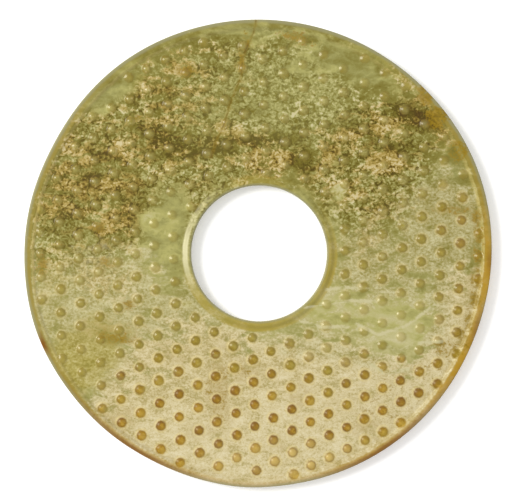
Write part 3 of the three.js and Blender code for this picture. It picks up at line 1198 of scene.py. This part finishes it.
def lay_bosses(p):
    """The bosses keep their polish: drops of clear jade, and amber ones on bleached ground.

    Each is darkest at its foot towards the light, which gathers on its far side.
    """
    colours = p.colours
    tint = p.attribute("boss_tint")
    faded = p.attribute("faded")
    p.lay(colours.halo, p.reach.eased(1.55, 1.1) * p.bleached * 0.5)
    # Painted light: painted shade at the foot facing the key light, a painted glow on the far side
    depth = p.reach * 0.1 + p.attribute("boss_glow") * 0.6
    depth = depth + p.grain.swing(0.8) + p.fleck.swing(0.7)
    drop = p.ramp(
        depth,
        (0.05, colours.drop_glow),
        (0.35, colours.drop),
        (0.90, colours.drop_shade),
    )
    amber_drop = p.ramp(
        depth + tint.swing(0.5),
        (0.05, colours.amber_glow),
        (0.40, colours.boss_amber),
        (0.90, colours.amber_shade),
    )
    warm = (p.attribute("warm") + tint.swing(0.4)).eased(0.0, 0.95)
    drop = p.cover(drop, amber_drop, warm * p.bleached.eased(0.3, 0.7))
    drop = p.cover(drop, colours.faded_boss, faded * p.reach.eased(1.0, 0.5) * 0.85)
    # Painted sheen, partly the bosses' own cool colour, on the bosses in the crust
    drop = p.cover(drop, colours.bead_and_sheen, p.crust * p.reach.eased(0.9, 0.1) * 0.7)
    clean = 0.62 + p.bleached * 0.34 - p.clear * 0.3 - p.crust * 0.14
    p.lay(drop, p.boss * p.less(clean, faded * 0.15))


def lay_rim(p):
    """Amber and brown stain from the edge inwards, a cool lip and a pale line on the bank."""
    colours = p.colours
    amber = p.attribute("rim_amber")
    brown = p.attribute("rim_brown")
    reach = p.attribute("rim_reach") + p.mottle.swing(0.4) + p.grain.swing(0.1)
    p.lay(colours.stain, amber * reach.eased(2.8, 1.2) * p.fleck.eased(0.35, 0.6) * 0.6)
    # The pale bank line: partly worn, partly painted highlight and painted light over the bank's
    # shade
    line = reach.eased(0.95, 1.1) * reach.eased(1.55, 1.22) * p.attribute("rim_line")
    p.lay(colours.rim_line, line * (0.75 + p.fleck.swing(1.6)))
    p.lay(colours.rim_olive, p.attribute("rim_olive") * reach.eased(1.1, 0.75))
    p.lay(colours.rim_amber, amber * reach.eased(1.15, 0.85) * (0.88 + p.mottle.swing(1.1)))
    p.lay(colours.rim_brown, brown * reach.eased(1.0, 0.3))
    p.lay(colours.lip, p.less(1.0, p.larger(amber, brown)) * reach.eased(0.6, 0.2) * 0.85)


def lay_collar(p):
    """A warm stain, a painted highlight on the side that the light meets, and a cool lip."""
    colours = p.colours
    reach = p.attribute("collar_reach") + p.mottle.swing(0.5)
    p.lay(colours.collar, reach.eased(3.6, 2.8) * p.attribute("collar_warm") * 0.85)
    # Painted highlight on the collar's bank that faces the key light
    highlight_crescent = reach.eased(0.6, 1.5) * reach.eased(3.1, 2.3)
    p.lay(colours.highlight_crescent, highlight_crescent * p.attribute("collar_pale") * 0.85)
    p.lay(colours.lip, reach.eased(0.9, 0.25) * 0.7)


def lay_stains(p):
    """Scattered stains, the rusty crack and the pale veins."""
    colours = p.colours
    stain = p.attribute("amber").ragged(0.35, 1.1, p.fringe + p.grain.swing(1.6))
    p.lay(colours.stain, stain * 0.85)
    p.lay(colours.rust, stain * p.grain.eased(0.56, 0.4) * 0.5)
    crack = p.attribute("crack")
    p.lay(colours.stain, (crack + p.mottle.swing(0.8)).eased(0.2, 0.9) * 0.35)
    p.lay(colours.rust, crack.eased(0.66, 0.95) * (0.55 + p.fleck.swing(1.2)))
    vein = (p.attribute("vein") + p.grain.swing(0.7)).eased(0.2, 0.85)
    p.lay(colours.chalk, vein * p.mottle.eased(0.36, 0.52) * 0.9)


def jade_material(colours):
    """Mottled jade. Its crust and its bleached ground shine less than the polished bosses."""
    material = bpy.data.materials.new("Mottled jade")
    material.use_nodes = True
    material.node_tree.nodes.clear()
    p = Paint(material.node_tree, colours)
    for layer in (lay_jade, lay_bleached_ground, lay_bosses, lay_rim, lay_collar, lay_stains):
        layer(p)
    rough = (
        0.34 + p.crust * 0.16 + p.pale * 0.06 + p.grain.swing(0.2)
        - p.boss * 0.02 - p.boss * p.crust * 0.1 - p.clear * 0.06
    )
    relief = p.fleck * p.crust * 0.9 + p.speck * 0.14 + p.grain * 0.12
    shader = p.add("ShaderNodeBsdfPrincipled", {
        "Base Color": p.base,
        "Roughness": rough,
        "Normal": p.add("ShaderNodeBump", {"Height": relief, "Strength": 0.4, "Distance": 0.0001}),
        "IOR": 1.55,
        "Specular IOR Level": 0.26,
        "Specular Tint": (*SHEEN_TINT, 1),
        "Coat Weight": p.boss * (1.0 - p.bleached * 0.8) * 0.5,
        "Coat Roughness": 0.26,
        "Coat Tint": (*SHEEN_TINT, 1),
    })
    p.add("ShaderNodeOutputMaterial", {"Surface": shader})
    return material


def floor_material():
    """An even matt finish."""
    material = bpy.data.materials.new("Pale floor")
    material.use_nodes = True
    inputs = material.node_tree.nodes["Principled BSDF"].inputs
    inputs["Base Color"].default_value = (*FLOOR_COLOUR, 1)
    inputs["Roughness"].default_value = 0.9
    inputs["Specular IOR Level"].default_value = 0
    inputs["Emission Color"].default_value = (1, 1, 1, 1)
    inputs["Emission Strength"].default_value = FLOOR_GLOW
    return material


def lay_floor(scene):
    """The pale floor that the disc lies on."""
    mesh = bpy.data.meshes.new("floor")
    reach = FLOOR_REACH
    corners = [(-reach, -reach, 0), (reach, -reach, 0), (reach, reach, 0), (-reach, reach, 0)]
    mesh.from_pydata(corners, [], [(0, 1, 2, 3)])
    mesh.materials.append(floor_material())
    floor = bpy.data.objects.new("floor", mesh)
    scene.collection.objects.link(floor)


def set_lights(scene, stage):
    """An even sky, and one soft key light from the upper left."""
    world = bpy.data.worlds.new("Even sky")
    world.use_nodes = True
    sky = world.node_tree.nodes["Background"]
    sky.inputs["Color"].default_value = (1, 1, 1, 1)
    sky.inputs["Strength"].default_value = stage.sky
    scene.world = world
    lamp = bpy.data.lights.new("key_light", "AREA")
    lamp.shape = "DISK"
    lamp.size = KEY_SIZE
    lamp.energy = stage.key_power
    key = bpy.data.objects.new("key_light", lamp)
    key.location = KEY_PLACE
    key.rotation_euler = (-key.location).to_track_quat("-Z", "Y").to_euler()
    scene.collection.objects.link(key)


def place_camera(scene, stage):
    """The camera straight above, with the disc as far off the picture's centre as in the photo."""
    film = bpy.data.cameras.new("camera")
    film.sensor_width = FILM_WIDTH
    film.lens = FILM_WIDTH * stage.camera_distance / stage.frame_width
    film.clip_start = 0.01
    camera = bpy.data.objects.new("camera", film)
    per_pixel = stage.frame_width / PHOTO_WIDTH
    right, below = DISC_MIDDLE
    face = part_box("jade_disc")[1][2]
    camera.location = (-right * per_pixel, below * per_pixel, face + stage.camera_distance)
    scene.collection.objects.link(camera)
    scene.camera = camera
    scene.view_settings.view_transform = "Standard"


class JADE_OT_carve_disc(bpy.types.Operator):
    """Carve the disc with its bosses and give it its stone."""

    bl_idname = "jade.carve_disc"
    bl_label = "Carve the disc"

    def execute(self, context):
        plate = Plate(context.scene.jade_disc_sizes)
        front_centres = boss_centres(plate, FRONT)
        back_centres = boss_centres(plate, BACK)
        mesh = disc_mesh(plate, front_centres, back_centres)
        disc = bpy.data.objects.new("jade_bi_disc", mesh)
        context.scene.collection.objects.link(disc)
        stone = jade_material(context.scene.jade_stone_colours)
        tree = carving_tree()
        for face, centres in ((FRONT, front_centres), (BACK, back_centres)):
            points = boss_points(plate, face, centres)
            context.scene.collection.objects.link(points)
            carve(plate, disc, tree, face, points, stone)
            bpy.data.objects.remove(points)
        disc.data.transform(Matrix.Translation((0, 0, plate.top / MM)))
        disc.data.polygons.foreach_set("use_smooth", [True] * len(disc.data.polygons))
        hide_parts("jade_disc")
        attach(disc, "root")
        return {"FINISHED"}


class JADE_OT_set_stage(bpy.types.Operator):
    """Lay the floor, set the lights and place the camera above the disc."""

    bl_idname = "jade.set_stage"
    bl_label = "Set the stage"

    def execute(self, context):
        scene = context.scene
        lay_floor(scene)
        set_lights(scene, scene.jade_stage)
        place_camera(scene, scene.jade_stage)
        return {"FINISHED"}


class JADE_PT_disc(bpy.types.Panel):
    """The sizes, colours and stage of the disc, and the steps that make them."""

    bl_label = "Jade disc"
    bl_space_type = "VIEW_3D"
    bl_region_type = "UI"
    bl_category = "Jade disc"

    def draw(self, context):
        scene = context.scene
        for group in (scene.jade_disc_sizes, scene.jade_stone_colours, scene.jade_stage):
            box = self.layout.box()
            for name in group.__annotations__:
                box.prop(group, name)
        self.layout.operator(JADE_OT_set_stage.bl_idname)
        self.layout.operator(JADE_OT_carve_disc.bl_idname)


CLASSES = (
    DiscSizes,
    StoneColours,
    StageSettings,
    JADE_OT_carve_disc,
    JADE_OT_set_stage,
    JADE_PT_disc,
)


def register():
    for cls in CLASSES:
        bpy.utils.register_class(cls)
    scene = bpy.types.Scene
    scene.jade_disc_sizes = bpy.props.PointerProperty(type=DiscSizes)
    scene.jade_stone_colours = bpy.props.PointerProperty(type=StoneColours)
    scene.jade_stage = bpy.props.PointerProperty(type=StageSettings)


def unregister():
    del bpy.types.Scene.jade_stage
    del bpy.types.Scene.jade_stone_colours
    del bpy.types.Scene.jade_disc_sizes
    for cls in reversed(CLASSES):
        bpy.utils.unregister_class(cls)


def main():
    """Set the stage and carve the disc."""
    register()
    bpy.ops.jade.set_stage()
    bpy.ops.jade.carve_disc()


if __name__ == "__main__":
    main()
